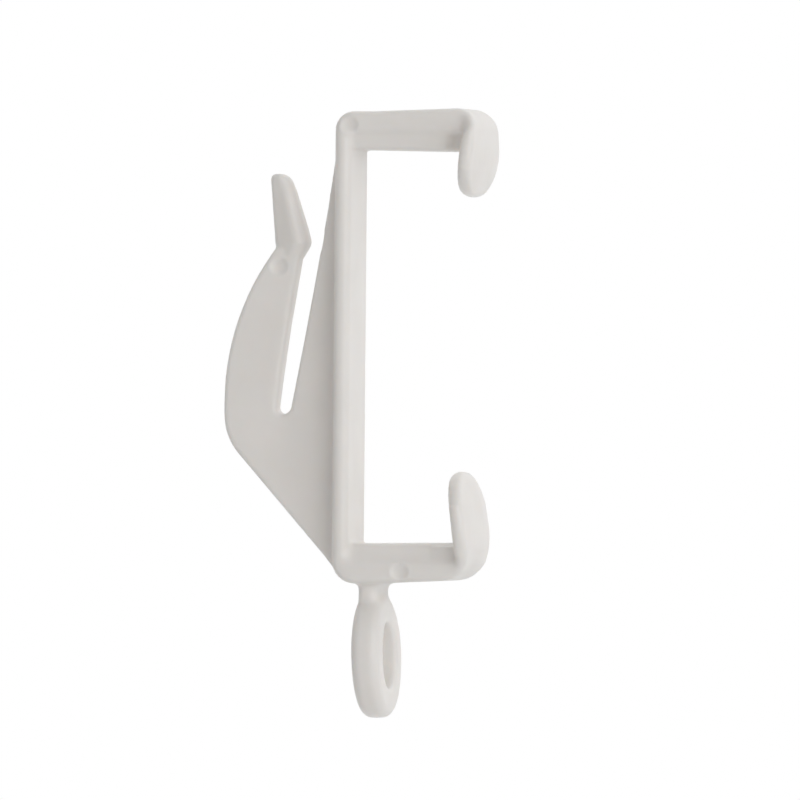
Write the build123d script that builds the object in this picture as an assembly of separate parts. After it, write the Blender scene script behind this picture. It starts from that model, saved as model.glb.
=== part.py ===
from build123d import *
from math import cos, hypot, radians, sin, sqrt, tan
import os

# Curtain track glider: one plastic moulding that wraps a flat curtain track.
# X runs from the room side (hook) to the wall side (lips), Y runs along the track, Z is up.
# The origin is in the middle of the track channel, on the face of the spine that meets the track.

# Track channel
track_height = 27.5           # between the crests of the two running ribs, at the spine
frame_width = 6.3             # spine and arms, along the track
edge_round = 0.55             # rounding of the long edges of the spine and arms
inner_round = 0.3             # inner corners of the channel, seen from the side
round_share = 0.49            # most that an edge rounding takes of a thin bar's thickness
close_by = 0.01               # tolerance for picking edges by their place or size

# Spine
spine_thickness = 1.15
spine_top_round = 1.3         # its outer corners, seen from the side
spine_bottom_round = 1.6
corner_reach = 1.6            # from the track face to where the straight arms begin

# Running ribs inside the arms
rib_height = 1.1
rib_width = 5.9               # where it leaves the arm
rib_crest_width = 5.1
rib_neck_width = 4.3          # of the narrow stretch that joins it to the lip
rib_shoulder = 0.7            # length of the rounded step down to that width
rib_toe_in = 0.13             # how far each crest closes towards the lips
rib_root_round = 0.25         # blend between a rib and the spine
top_rib_reach = 7.0
bottom_rib_reach = 6.3

# Upper arm
top_arm_thickness = 1.57
top_arm_rise = 0.24           # how much thicker it gets towards its nose
top_arm_reach = 9.04
top_nose_round = 1.45
top_nose_flare = 60           # degrees of the flare's quarter wave that the nose takes up

# Lower arm
bottom_arm_thickness = 1.7
bottom_arm_rise = -0.25       # it gets thinner towards its nose
bottom_arm_reach = 8.68
bottom_nose_round = 1.9
bottom_nose_flare = 46

# Lips: wide oval tongues that grip behind the track
lip_thickness = 0.93
lip_dome = 8                  # degrees that the outer face falls away at its sides
top_lip_width = 10.0
top_lip_drop = 3.25           # from the crest of the upper rib to the tip
top_lip_bend = 12.3           # radius of its lean towards the spine
top_lip_belly = 2.6           # from the tip up to its widest place
top_lip_flank = 0.0           # straight stretch of its sides
bottom_lip_width = 9.2
bottom_lip_drop = 5.05        # from the crest of the lower rib to the tip
bottom_lip_bend = 19.3
bottom_lip_belly = 3.1
bottom_lip_flank = 0.9

# Hook web
web_thickness = 1.7
web_edge_round = 0.3
web_root_round = 0.8          # blend between the web and the spine
web_top_height = 15.45        # where its upper edge runs out at the spine
foot_height = -15.8           # where its sloping lower edge meets the spine
heel_depth = 9.4              # from the track face to the outermost place of the finger
heel_height = -3.86
heel_corner_height = -6.37    # where the straight edges at the heel would cross
heel_round = 4.2
finger_bow = 17.74            # radius of the back of the finger
finger_top_height = 6.84
slot_place = -5.18
slot_width = 0.97
slot_height = -4.75           # bottom of the slot
slot_bow = 0.1                # how far each side of the slot curves away from the other
slot_end_share = 0.3          # chamfer at the bottom of the slot, as a share of its width

# Barbed tip, as a thin back, a thick ridge and a blunt front at each height
tip_height = 12.05
tip_back = -6.31
tip_ridge = -5.4
tip_front = -4.87
tip_back_round = 0.45         # its top corners, seen from the side
tip_front_round = 1.15
tip_back_width = 0.8
tip_ridge_width = 1.5
tip_front_width = 0.9
barb_height = 7.2
barb_back = -5.9
barb_ridge = -4.05
barb_front = -3.36
barb_back_width = 1.2
barb_ridge_width = 2.7
barb_front_width = 1.5
barb_root_height = 6.45
finger_neck_place = -3.98     # front of the finger just under the barb
finger_neck_back = -5.7
ridge_share = 0.27            # rounding of the ridge, as a share of the width there
back_share = 0.4              # the same for the back
front_share = 0.35            # and for the front
tip_foot_inset = 0.3          # how much narrower than the web the foot's back and front are
tip_foot_ridge_inset = 0.02   # and its ridge

# Neck and eye
neck_thickness = 1.34
neck_width = 4.5
neck_edge_round = 0.4
neck_root_round = 0.3         # blend between the neck and the lower arm
neck_place = 1.28             # from the track face to the middle of the neck
neck_foot_share = 0.73        # where the neck is as thick as the ring, as a share of the ring's radius
eye_place = 1.52              # from the track face to the middle of the ring
eye_height = -21.62
eye_radius = 4.32
eye_lean = 1.8                # degrees that the top of the ring leans towards the hook
eye_bore_radius = 2.27
eye_thickness = 2.02
eye_edge_round = 0.7
eye_bore_chamfer = 0.2

# Ejector pin marks, as places from the track face and the middle of the channel
mark_radius = 0.63
mark_depth = 0.12
top_mark = (-0.09, 15.49)
bottom_mark = (3.76, -15.67)
finger_mark = (-5.53, 5.59)

half_width = frame_width / 2
channel_half = track_height / 2 + rib_height
inside = -spine_thickness / 2


def rounded_face(corners):
    """Face inside a polygon of (x, y, radius) corners."""
    face = make_face(Polyline(*[(x, y) for x, y, radius in corners], close=True))
    for x, y, radius in corners:
        if radius:
            corner = face.vertices().sort_by_distance((x, y, 0))[0]
            face = fillet(corner, radius)
    return face


def spine():
    """Spine with the roots of both arms, as one bent bar with rounded edges."""
    face = rounded_face([
        (-spine_thickness, channel_half + top_arm_thickness, spine_top_round),
        (corner_reach, channel_half + top_arm_thickness, 0),
        (corner_reach, channel_half, 0),
        (inner_round, channel_half, 0),
        (0, channel_half - inner_round, 0),
        (0, inner_round - channel_half, 0),
        (inner_round, -channel_half, 0),
        (corner_reach, -channel_half, 0),
        (corner_reach, -channel_half - bottom_arm_thickness, 0),
        (-spine_thickness, -channel_half - bottom_arm_thickness, spine_bottom_round),
    ])
    bar = extrude(Plane.XZ * face, amount=half_width, both=True)
    sides = bar.faces().filter_by(Axis.Y)
    edges = [edge for edge in sides.edges() if edge.center().X < corner_reach - close_by]
    return fillet(edges, edge_round)


def bar_section(inner, outer, width, dome=0):
    """Rounded section of the bar between a point on its inner side and one on its outer side."""
    across = outer[0] - inner[0]
    up = outer[1] - inner[1]
    thickness = hypot(across, up)
    half = width / 2
    crown = thickness + half * tan(radians(dome / 2))
    sides = Polyline((half, thickness), (half, 0), (-half, 0), (-half, thickness))
    if dome:
        top = ThreePointArc((-half, thickness), (0, crown), (half, thickness))
    else:
        top = Line((-half, thickness), (half, thickness))
    face = make_face([sides, top])
    face = fillet(face.vertices(), min(edge_round, round_share * thickness))
    place = Plane((inner[0], 0, inner[1]), x_dir=(0, 1, 0), z_dir=(up, 0, -across))
    return place * face


def nose_sections(thickness, rise, reach, nose_round, flare, width):
    """Sections round the nose of the upper arm, where it bends square and flares into its lip."""
    outer_top = channel_half + thickness + rise
    inner_x = reach - lip_thickness - inner_round
    sections = []
    for angle in range(0, 91, 18):
        along = sin(radians(angle))
        drop = 1 - cos(radians(angle))
        inner = (inner_x + inner_round * along, channel_half - inner_round * drop)
        outer = (reach - nose_round + nose_round * along, outer_top - nose_round * drop)
        wider = sin(radians(flare * angle / 90)) ** 2
        wide = frame_width + (width - frame_width) * wider
        sections.append(bar_section(inner, outer, wide, lip_dome * wider))
    return sections


def lip_sections(reach, flare, width, drop, bend, belly, flank):
    """Sections down the upper lip, from just under the nose to its rounded oval tip."""
    tip = track_height / 2 - drop
    widest = tip + belly
    start = channel_half - inner_round
    stations = []
    for step in (1 / 3, 2 / 3, 1):
        wider = sin(radians(flare + (90 - flare) * step)) ** 2
        height = start + (widest + flank - start) * step
        stations.append((height, frame_width + (width - frame_width) * wider))
    for angle in (15, 30, 44, 57, 68, 77, 84):
        stations.append((widest - belly * sin(radians(angle)), width * cos(radians(angle))))
    half = lip_thickness / 2
    sections = []
    for height, wide in stations:
        lowered = start - height
        lean = lowered / bend
        deep = sqrt(half ** 2 - max(0, half - (height - tip)) ** 2)
        x = reach - half - lowered ** 2 / (2 * bend)
        inner = (x - deep * cos(lean), height + deep * sin(lean))
        outer = (x + deep * cos(lean), height - deep * sin(lean))
        sections.append(bar_section(inner, outer, wide, lip_dome))
    return sections


def top_arm():
    """Upper arm with its nose and lip."""
    outer = channel_half + top_arm_thickness
    root = bar_section((corner_reach, channel_half), (corner_reach, outer), frame_width)
    nose = nose_sections(top_arm_thickness, top_arm_rise, top_arm_reach, top_nose_round, top_nose_flare,
                         top_lip_width)
    lip = lip_sections(top_arm_reach, top_nose_flare, top_lip_width, top_lip_drop, top_lip_bend,
                       top_lip_belly, top_lip_flank)
    return loft([root] + nose + lip, ruled=True)


def bottom_arm():
    """Lower arm with its nose and lip, shaped as an upper one and turned over."""
    outer = channel_half + bottom_arm_thickness
    root = bar_section((corner_reach, channel_half), (corner_reach, outer), frame_width)
    nose = nose_sections(bottom_arm_thickness, bottom_arm_rise, bottom_arm_reach, bottom_nose_round,
                         bottom_nose_flare, bottom_lip_width)
    lip = lip_sections(bottom_arm_reach, bottom_nose_flare, bottom_lip_width, bottom_lip_drop,
                       bottom_lip_bend, bottom_lip_belly, bottom_lip_flank)
    return mirror(loft([root] + nose + lip, ruled=True), about=Plane.XY)


def blend_steps(radius):
    """Places along a concave quarter circle: how far from the root, and how much wider it is there."""
    steps = [(0, radius)]
    for angle in (30, 60, 90):
        steps.append((radius * (1 - cos(radians(angle))), radius * (1 - sin(radians(angle)))))
    return steps


def rib_section(x, side, half, grow, crest):
    """Section of a running rib at one place along its arm, grown by a margin."""
    buried = side * (channel_half + edge_round)
    slope = (rib_width - rib_crest_width) / 2
    base = half + grow / 2
    face = rounded_face([
        (-base, buried, 0),
        (base, buried, 0),
        (base - slope, side * (crest - grow), edge_round),
        (slope - base, side * (crest - grow), edge_round),
    ])
    place = Plane((x, 0, 0), x_dir=(0, 1, 0), z_dir=(1, 0, 0))
    return place * face


def rib(side, end, reach):
    """Running rib whose crest slides on the edge of the track: blended into the spine, wide as far
    as its end, and narrow from there to the lip."""
    half = rib_width / 2
    narrow = rib_neck_width / 2
    stations = [(inside, half, rib_root_round)]
    for away, grow in blend_steps(rib_root_round):
        stations.append((away, half, grow))
    for angle in (0, 45, 90):
        x = end - rib_shoulder * (1 - sin(radians(angle)))
        stations.append((x, narrow + (half - narrow) * cos(radians(angle)), 0))
    stations.append((reach - lip_thickness / 2, narrow, 0))
    sections = []
    for x, wide, grow in stations:
        crest = track_height / 2 - rib_toe_in * max(0, x) / reach
        sections.append(rib_section(x, side, wide, grow, crest))
    return loft(sections, ruled=True)


def bow_place(height):
    """How far the bowed back of the finger stands from the track face at a height."""
    centre = finger_bow - heel_depth
    return centre - sqrt(finger_bow ** 2 - (height - heel_height) ** 2)


def bowed(start, end, bow):
    """Arc between two points, with its middle moved along +X by a bow."""
    return ThreePointArc(start, ((start[0] + end[0]) / 2 + bow, (start[1] + end[1]) / 2), end)


def web_face():
    """Outline of the hook web seen from the side, with the slot that frees the finger."""
    back_top = (bow_place(finger_top_height), finger_top_height)
    back_low = (-heel_depth, heel_height)
    back_middle_height = (finger_top_height + heel_height) / 2
    back_middle = (bow_place(back_middle_height), back_middle_height)
    slot_left = (slot_place - slot_width / 2, slot_height)
    slot_right = (slot_place + slot_width / 2, slot_height)
    neck_front = (finger_neck_place, barb_root_height)
    web_top = (-spine_thickness, web_top_height)
    face = make_face([
        bowed(web_top, slot_right, slot_bow),
        Line(slot_right, slot_left),
        bowed(slot_left, neck_front, -slot_bow),
        Line(neck_front, back_top),
        ThreePointArc(back_top, back_middle, back_low),
        Polyline(back_low, (-heel_depth, heel_corner_height), (-spine_thickness, foot_height),
                 (inside, foot_height), (inside, web_top_height), web_top),
    ])
    heel = face.vertices().sort_by_distance((-heel_depth, heel_corner_height, 0))[0]
    face = fillet(heel, heel_round)
    slot_ends = [face.vertices().sort_by_distance((*corner, 0))[0] for corner in (slot_left, slot_right)]
    return chamfer(slot_ends, slot_end_share * slot_width)


def web():
    """Hook web: a thin plate with rounded edges and a blend along the spine."""
    face = web_face()
    half = web_thickness / 2
    plate = extrude(Plane.XZ * face, amount=half, both=True)
    sides = plate.faces().filter_by(Axis.Y)
    outside = -spine_thickness - close_by
    edges = [edge for edge in sides.edges() if edge.center().X < outside and not is_finger_top(edge)]
    plate = fillet(edges, web_edge_round)
    wide = half + web_root_round
    back = -spine_thickness - web_root_round
    dip = web_root_round * sqrt(0.5)
    section = make_face([
        ThreePointArc((back, half), (back + dip, wide - dip), (-spine_thickness, wide)),
        Polyline((-spine_thickness, wide), (inside, wide), (inside, -wide), (-spine_thickness, -wide)),
        ThreePointArc((-spine_thickness, -wide), (back + dip, dip - wide), (back, -half)),
        Line((back, -half), (back, half)),
    ])
    prism = extrude(section, amount=2 * track_height, both=True)
    root = prism & extrude(Plane.XZ * face, amount=wide, both=True)
    return plate, root


def is_finger_top(edge):
    """Whether an edge of the web is the one that the barbed tip covers."""
    middle = edge.center()
    return middle.Z > barb_root_height - close_by and middle.X < finger_neck_place


def tip_section(height, back, ridge, front, back_width, ridge_width, front_width):
    """Horizontal section of the tip: thin at its back, thickest at the ridge, blunt in front."""
    face = rounded_face([
        (back, -back_width / 2, back_share * back_width),
        (ridge, -ridge_width / 2, ridge_share * ridge_width),
        (front, -front_width / 2, front_share * front_width),
        (front, front_width / 2, front_share * front_width),
        (ridge, ridge_width / 2, ridge_share * ridge_width),
        (back, back_width / 2, back_share * back_width),
    ])
    return Pos(0, 0, height) * face


def barbed_tip():
    """Arrowhead that widens down to a barb and steps back in to the finger."""
    top = tip_section(tip_height, tip_back, tip_ridge, tip_front,
                      tip_back_width, tip_ridge_width, tip_front_width)
    shoulder = tip_section(barb_height, barb_back, barb_ridge, barb_front,
                           barb_back_width, barb_ridge_width, barb_front_width)
    foot_ridge = (finger_neck_back + finger_neck_place) / 2
    foot = tip_section(barb_root_height - web_edge_round, finger_neck_back, foot_ridge, finger_neck_place,
                       web_thickness - tip_foot_inset, web_thickness - tip_foot_ridge_inset,
                       web_thickness - tip_foot_inset)
    head = loft([foot, shoulder, top], ruled=True)
    margin = web_thickness
    side = rounded_face([
        (tip_back, 0, 0),
        (tip_back, tip_height, tip_back_round),
        (tip_front, tip_height, tip_front_round),
        (barb_front + margin, barb_height - margin, 0),
        (barb_front + margin, 0, 0),
    ])
    return head & extrude(Plane.XZ * side, amount=barb_ridge_width, both=True)


def neck():
    """Neck that carries the eye: blended into the lower arm and flared into the ring."""
    top = -channel_half - bottom_arm_thickness
    foot = eye_height + neck_foot_share * eye_radius
    sections = []
    for away, grow in [(-edge_round, neck_root_round)] + blend_steps(neck_root_round):
        face = RectangleRounded(neck_thickness + 2 * grow, neck_width + 2 * grow, neck_edge_round + grow)
        sections.append(Pos(neck_place, 0, top - away) * face)
    face = RectangleRounded(neck_thickness, neck_width, neck_edge_round)
    sections.append(Pos(neck_place, 0, eye_height + eye_radius) * face)
    thick = (neck_thickness + eye_thickness) / 2
    lean = (foot - eye_height) * tan(radians(eye_lean))
    face = RectangleRounded(thick, neck_width, neck_edge_round)
    sections.append(Pos(eye_place - lean, 0, foot) * face)
    return loft(sections, ruled=True)


def eye():
    """Ring with rounded edges, whose hole runs along X but for a slight lean."""
    ring = Cylinder(eye_radius, eye_thickness)
    ring = fillet(ring.edges().filter_by(GeomType.CIRCLE), eye_edge_round)
    ring -= Cylinder(eye_bore_radius, eye_thickness * 2)
    rims = [edge for edge in ring.edges().filter_by(GeomType.CIRCLE)
            if abs(edge.radius - eye_bore_radius) < close_by]
    ring = chamfer(rims, eye_bore_chamfer)
    return Pos(eye_place, 0, eye_height) * Rot(0, 90 - eye_lean, 0) * ring


def mark(x, z, surface):
    """Shallow dish left by an ejector pin on the side that faces -Y."""
    dish = (mark_radius ** 2 + mark_depth ** 2) / (2 * mark_depth)
    return Pos(x, -surface - dish + mark_depth, z) * Sphere(dish)


glider = spine() + top_arm() + bottom_arm()
glider += rib(1, top_rib_reach, top_arm_reach)
glider += rib(-1, bottom_rib_reach, bottom_arm_reach)
plate, root = web()
glider += plate
glider += root
glider += barbed_tip()
glider += neck()
glider += eye()
glider -= mark(*top_mark, half_width)
glider -= mark(*bottom_mark, half_width)
glider -= mark(*finger_mark, web_thickness / 2)

os.makedirs("parts", exist_ok=True)
export_step(glider, "parts/glider_body.step")
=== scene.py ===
import bmesh
import bpy
from math import cos, radians, sin
from mathutils import Matrix, Vector


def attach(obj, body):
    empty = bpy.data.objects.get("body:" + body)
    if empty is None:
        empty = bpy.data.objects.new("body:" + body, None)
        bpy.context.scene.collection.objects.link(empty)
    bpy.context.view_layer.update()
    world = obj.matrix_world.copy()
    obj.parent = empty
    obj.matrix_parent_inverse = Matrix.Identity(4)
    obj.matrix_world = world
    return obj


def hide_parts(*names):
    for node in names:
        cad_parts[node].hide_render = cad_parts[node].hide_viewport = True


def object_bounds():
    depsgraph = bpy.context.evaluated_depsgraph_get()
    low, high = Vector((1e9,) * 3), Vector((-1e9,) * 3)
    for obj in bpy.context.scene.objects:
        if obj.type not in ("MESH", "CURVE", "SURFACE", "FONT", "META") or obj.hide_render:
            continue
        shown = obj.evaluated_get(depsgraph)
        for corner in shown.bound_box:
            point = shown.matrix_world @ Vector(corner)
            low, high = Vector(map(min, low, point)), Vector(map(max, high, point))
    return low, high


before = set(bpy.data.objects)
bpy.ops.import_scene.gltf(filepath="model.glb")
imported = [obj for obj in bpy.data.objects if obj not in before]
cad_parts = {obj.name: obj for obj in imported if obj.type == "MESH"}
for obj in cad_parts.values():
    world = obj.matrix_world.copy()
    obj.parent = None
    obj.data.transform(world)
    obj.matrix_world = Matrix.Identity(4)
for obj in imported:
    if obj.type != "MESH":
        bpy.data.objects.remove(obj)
cad_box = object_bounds()

# Everything here is in metres, in the CAD model's own frame.

# Camera: level with the glider and a little round towards its lips
AZIMUTH = radians(12)
ROLL = radians(0.5)
PICTURE_WIDTH = 0.05594       # how much of the object's plane the picture takes in
CAMERA_DISTANCE = 1.2
AIM_RIGHT = 0.002988          # picture's middle, measured from the origin in the picture's plane
AIM_UP = -0.00371
SENSOR_WIDTH = 36             # in millimetres
CLIP_RANGE = (0.01, 20)

# Soft copy of the solid
WELD_DISTANCE = 1e-7
GRAIN = 0.0001                # voxel size
SOFTENING = 14                # rounds of smoothing everywhere
SPOT_SOFTENING = 90           # more rounds, in the soft spots
SMOOTH_STEP = 0.5
SPOT_EASE = 2.5               # how steeply a soft spot fades in from its sides
KEPT_FACES = 0.3              # share of the faces that thinning keeps

# Soft spots, each as the middle and the half sizes of a box
SOFT_SPOTS = (
    ((0.0073, 0, 0.0144), (0.0014, 0.0036, 0.0016)),     # nook at the upper lip
    ((0.0067, 0, -0.0144), (0.0018, 0.0036, 0.0018)),    # nook at the lower lip
    ((0.0012, 0, -0.0150), (0.0020, 0.0042, 0.0010)),    # lower arm's rib at the spine
    ((0.0022, 0, -0.0183), (0.0012, 0.0036, 0.0016)),    # neck's root
    ((-0.0043, 0, 0.0120), (0.0013, 0.0040, 0.0011)),    # top corner of the barbed tip
    ((-0.0028, 0, 0.0073), (0.0009, 0.0040, 0.0008)),    # barb
)

# Block that partly fills the dip in the rib behind the lower lip, as its middle and sizes
NOOK_FILL = ((0.0071, 0, -0.01475), (0.0022, 0.0055, 0.0017))

# Ejector marks, each as X and Z of its middle and Y of the surface it is in
MARKS = (
    (-0.00009, 0.01549, -0.00315),
    (0.00376, -0.01567, -0.00315),
    (-0.00553, 0.00559, -0.00085),
)
MARK_RADIUS = 0.00062
MARK_DEPTH = 0.00008
MARK_RIM = 0.00002            # how far the rim stands up
RIM_CREST = 1.2               # where the rim is highest, as a share of the mark's radius
RIM_HALF = 0.2                # half the rim's width, as a share of the same

# Plastic
IOR = 1.5
SUBSURFACE = 0.35
SUBSURFACE_RADIUS = (1.0, 0.85, 0.7)
SUBSURFACE_SCALE = 0.0012
DARK_TONE = (0.817, 0.793, 0.766, 1)
LIGHT_TONE = (0.847, 0.824, 0.8, 1)
TONE_NOISE = (260, 4)         # scale and detail, here and in the next two noises
TONE_RANGE = (0.3, 0.7)       # stretch of the noise that goes from dark to light
GLOSS_NOISE = (420, 5)
GLOSS_RANGE = (0.35, 0.65)    # stretch of the noise that goes through the roughnesses
ROUGHNESS = (0.33, 0.43)
POLISH_NOISE = (1500, 3)
POLISH_ALONG = 0.12           # scale along the height, which draws the noise out into lines
POLISH_STRENGTH = 0.08
POLISH_DEPTH = 0.0001

# Studio, with the world's strengths on each side and the softbox in front
AMBIENT = 0.02
FROM_WALL_SIDE = 0.12
FROM_BEHIND = 1.07
FROM_ABOVE = 0.63
LIGHT_COLOUR = (1, 0.995, 0.985, 1)
KEY_PLACE = (0.66, -0.70, 0.12)
KEY_AIM = (0, 0, -0.004)
KEY_SIZE = 0.9
KEY_POWER = 5.0
FLOOR_DROP = 0.03             # from the glider's lowest point
FLOOR_HALF = 3.0              # half the floor's side
FLOOR_COLOUR = (0.8, 0.8, 0.8, 1)
FLOOR_ROUGHNESS = 0.8
WHITE = (1, 1, 1, 1)


def in_scene(name, data):
    """A new object in the scene that shows the data."""
    thing = bpy.data.objects.new(name, data)
    bpy.context.scene.collection.objects.link(thing)
    return thing


def add_camera():
    right = Vector((cos(AZIMUTH), sin(AZIMUTH), 0))
    up = Vector((0, 0, 1))
    back = Vector((sin(AZIMUTH), -cos(AZIMUTH), 0))
    tilted_right = right * cos(ROLL) + up * sin(ROLL)
    tilted_up = up * cos(ROLL) - right * sin(ROLL)
    data = bpy.data.cameras.new("camera")
    data.sensor_width = SENSOR_WIDTH
    data.lens = SENSOR_WIDTH * CAMERA_DISTANCE / PICTURE_WIDTH
    data.clip_start, data.clip_end = CLIP_RANGE
    camera = in_scene("camera", data)
    place = right * AIM_RIGHT + up * AIM_UP + back * CAMERA_DISTANCE
    turn = Matrix((tilted_right, tilted_up, back)).transposed().to_4x4()
    camera.matrix_world = Matrix.Translation(place) @ turn
    bpy.context.scene.camera = camera


def noise(nodes, links, place, scale, detail):
    """Noise over the place, as a value from about 0 to 1."""
    node = nodes.new("ShaderNodeTexNoise")
    node.inputs["Scale"].default_value = scale
    node.inputs["Detail"].default_value = detail
    links.new(place, node.inputs["Vector"])
    return node.outputs["Fac"]


def white_plastic():
    """Smooth off-white moulded plastic, a little translucent, with an uneven satin gloss."""
    material = bpy.data.materials.new("white_plastic")
    material.use_nodes = True
    nodes = material.node_tree.nodes
    links = material.node_tree.links
    shader = nodes["Principled BSDF"]
    shader.inputs["IOR"].default_value = IOR
    shader.inputs["Subsurface Weight"].default_value = SUBSURFACE
    shader.inputs["Subsurface Radius"].default_value = SUBSURFACE_RADIUS
    shader.inputs["Subsurface Scale"].default_value = SUBSURFACE_SCALE
    place = nodes.new("ShaderNodeTexCoord").outputs["Object"]

    tone = nodes.new("ShaderNodeValToRGB")
    ends = tone.color_ramp.elements
    for end, position, colour in zip(ends, TONE_RANGE, (DARK_TONE, LIGHT_TONE)):
        end.position = position
        end.color = colour
    links.new(noise(nodes, links, place, *TONE_NOISE), tone.inputs["Fac"])
    links.new(tone.outputs["Color"], shader.inputs["Base Color"])

    gloss = nodes.new("ShaderNodeMapRange")
    gloss.inputs["From Min"].default_value, gloss.inputs["From Max"].default_value = GLOSS_RANGE
    gloss.inputs["To Min"].default_value, gloss.inputs["To Max"].default_value = ROUGHNESS
    links.new(noise(nodes, links, place, *GLOSS_NOISE), gloss.inputs["Value"])
    links.new(gloss.outputs["Result"], shader.inputs["Roughness"])

    along = nodes.new("ShaderNodeMapping")
    along.inputs["Scale"].default_value = (1, 1, POLISH_ALONG)
    links.new(place, along.inputs["Vector"])
    bump = nodes.new("ShaderNodeBump")
    bump.inputs["Strength"].default_value = POLISH_STRENGTH
    bump.inputs["Distance"].default_value = POLISH_DEPTH
    links.new(noise(nodes, links, along.outputs["Vector"], *POLISH_NOISE), bump.inputs["Height"])
    links.new(bump.outputs["Normal"], shader.inputs["Normal"])
    return material


def box_weights(mesh, boxes):
    """How far each vertex is inside any of the boxes: 1 in the middle, eased down to 0 outside."""
    weights = []
    for vertex in mesh.vertices:
        best = 0
        for middle, half in boxes:
            inside = min(1 - abs(vertex.co[k] - middle[k]) / half[k] for k in range(3))
            best = max(best, min(1, SPOT_EASE * inside))
        weights.append(best)
    return weights


def applied(piece):
    """The piece's mesh with its modifiers worked in."""
    seen = piece.evaluated_get(bpy.context.evaluated_depsgraph_get())
    mesh = bpy.data.meshes.new_from_object(seen)
    piece.modifiers.clear()
    piece.data = mesh
    return mesh


def filled(mesh):
    """A copy of the mesh whose dip behind the lower lip is partly filled."""
    middle, size = NOOK_FILL
    shape = bmesh.new()
    shape.from_mesh(mesh)
    block = Matrix.Translation(middle) @ Matrix.Diagonal((*size, 1))
    bmesh.ops.create_cube(shape, size=1, matrix=block)
    copy = bpy.data.meshes.new("moulding")
    shape.to_mesh(copy)
    shape.free()
    return copy


def add_marks(mesh):
    """Shallow dished marks of the ejector pins, each with a low rim, on the side that faces -Y."""
    for x, z, surface in MARKS:
        for vertex in mesh.vertices:
            if vertex.co.y > surface / 2:
                continue
            away = ((vertex.co.x - x) ** 2 + (vertex.co.z - z) ** 2) ** 0.5 / MARK_RADIUS
            if away < 1:
                vertex.co.y += MARK_DEPTH * (1 - away ** 4)
            elif away < RIM_CREST + RIM_HALF:
                vertex.co.y -= MARK_RIM * (1 - abs(away - RIM_CREST) / RIM_HALF)


def soft_moulding(solid):
    """A finer copy of the solid, with the soft edges and inside corners that moulding gives it."""
    piece = in_scene("moulding", filled(solid.data))
    piece.modifiers.new("weld", "WELD").merge_threshold = WELD_DISTANCE
    remesh = piece.modifiers.new("remesh", "REMESH")
    remesh.mode = "VOXEL"
    remesh.voxel_size = GRAIN
    mesh = applied(piece)
    spots = piece.vertex_groups.new(name="spots")
    for index, weight in enumerate(box_weights(mesh, SOFT_SPOTS)):
        if weight > 0:
            spots.add([index], weight, "REPLACE")
    for iterations, group in ((SOFTENING, ""), (SPOT_SOFTENING, "spots")):
        smooth = piece.modifiers.new("smooth", "SMOOTH")
        smooth.factor = SMOOTH_STEP
        smooth.iterations = iterations
        smooth.vertex_group = group
    mesh = applied(piece)
    add_marks(mesh)
    piece.modifiers.new("thin", "DECIMATE").ratio = KEPT_FACES
    mesh = applied(piece)
    mesh.shade_smooth()
    return piece


def seen_or_mirrored(nodes, links):
    """1 for rays that show the background itself: straight to the camera, mirrored or let through."""
    path = nodes.new("ShaderNodeLightPath")
    total = path.outputs["Is Camera Ray"]
    for kind in ("Is Glossy Ray", "Is Transmission Ray"):
        most = nodes.new("ShaderNodeMath")
        most.operation = "MAXIMUM"
        links.new(total, most.inputs[0])
        links.new(path.outputs[kind], most.inputs[1])
        total = most.outputs["Value"]
    return total


def show_white(nodes, links, lit, white, output):
    """Lights the object with one shader, and shows the other where the background itself is seen."""
    mix = nodes.new("ShaderNodeMixShader")
    links.new(seen_or_mirrored(nodes, links), mix.inputs["Fac"])
    links.new(lit, mix.inputs[1])
    links.new(white, mix.inputs[2])
    links.new(mix.outputs["Shader"], output.inputs["Surface"])


def floor_paint():
    """Pale matt paint that is seen as plain white."""
    material = bpy.data.materials.new("floor")
    material.use_nodes = True
    nodes = material.node_tree.nodes
    links = material.node_tree.links
    paint = nodes["Principled BSDF"]
    paint.inputs["Base Color"].default_value = FLOOR_COLOUR
    paint.inputs["Roughness"].default_value = FLOOR_ROUGHNESS
    glow = nodes.new("ShaderNodeEmission")
    glow.inputs["Color"].default_value = WHITE
    show_white(nodes, links, paint.outputs["BSDF"], glow.outputs["Emission"], nodes["Material Output"])
    return material


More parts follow.
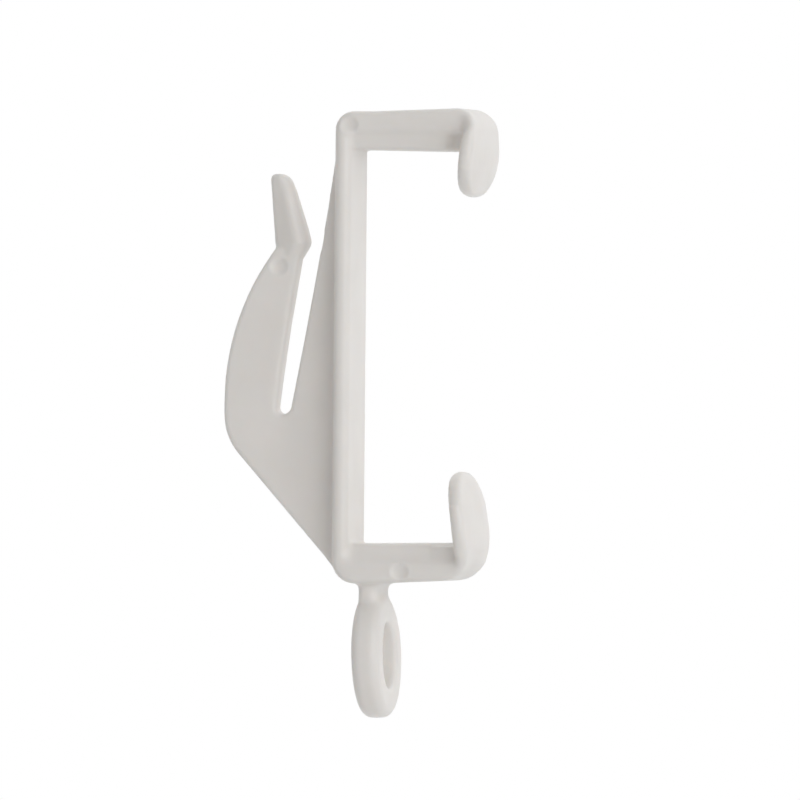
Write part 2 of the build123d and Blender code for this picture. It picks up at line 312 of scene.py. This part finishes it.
def add_floor():
    level = cad_box[0][2] - FLOOR_DROP
    far = FLOOR_HALF
    corners = [(x, y, level) for x, y in ((-far, -far), (far, -far), (far, far), (-far, far))]
    mesh = bpy.data.meshes.new("floor")
    mesh.from_pydata(corners, [], [(0, 1, 2, 3)])
    mesh.materials.append(floor_paint())
    in_scene("floor", mesh)


def add_world():
    """Light from the white surroundings: from behind, from above and from the wall side."""
    world = bpy.data.worlds.new("studio")
    world.use_nodes = True
    nodes = world.node_tree.nodes
    links = world.node_tree.links
    way = nodes.new("ShaderNodeTexCoord")
    forward = nodes.new("ShaderNodeVectorMath")
    forward.operation = "MAXIMUM"
    forward.inputs[1].default_value = (0, 0, 0)
    links.new(way.outputs["Generated"], forward.inputs[0])
    share = nodes.new("ShaderNodeVectorMath")
    share.operation = "DOT_PRODUCT"
    share.inputs[1].default_value = (FROM_WALL_SIDE, FROM_BEHIND, FROM_ABOVE)
    links.new(forward.outputs["Vector"], share.inputs[0])
    strength = nodes.new("ShaderNodeMath")
    strength.inputs[1].default_value = AMBIENT
    links.new(share.outputs["Value"], strength.inputs[0])
    lit = nodes["Background"]
    lit.inputs["Color"].default_value = LIGHT_COLOUR
    links.new(strength.outputs["Value"], lit.inputs["Strength"])
    seen = nodes.new("ShaderNodeBackground")
    seen.inputs["Color"].default_value = WHITE
    backgrounds = lit.outputs["Background"], seen.outputs["Background"]
    show_white(nodes, links, *backgrounds, nodes["World Output"])
    bpy.context.scene.world = world


def add_softbox(name, place, aim, size, power):
    data = bpy.data.lights.new(name, "AREA")
    data.size = size
    data.energy = power
    lamp = in_scene(name, data)
    lamp.location = place
    lamp.rotation_euler = (Vector(place) - Vector(aim)).to_track_quat("Z", "Y").to_euler()


moulding = soft_moulding(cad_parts["glider_body"])
moulding.data.materials.clear()
moulding.data.materials.append(white_plastic())
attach(moulding, "root")
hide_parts("glider_body")

add_camera()
add_floor()
add_world()
add_softbox("key", KEY_PLACE, KEY_AIM, KEY_SIZE, KEY_POWER)
bpy.context.scene.view_settings.view_transform = "Standard"
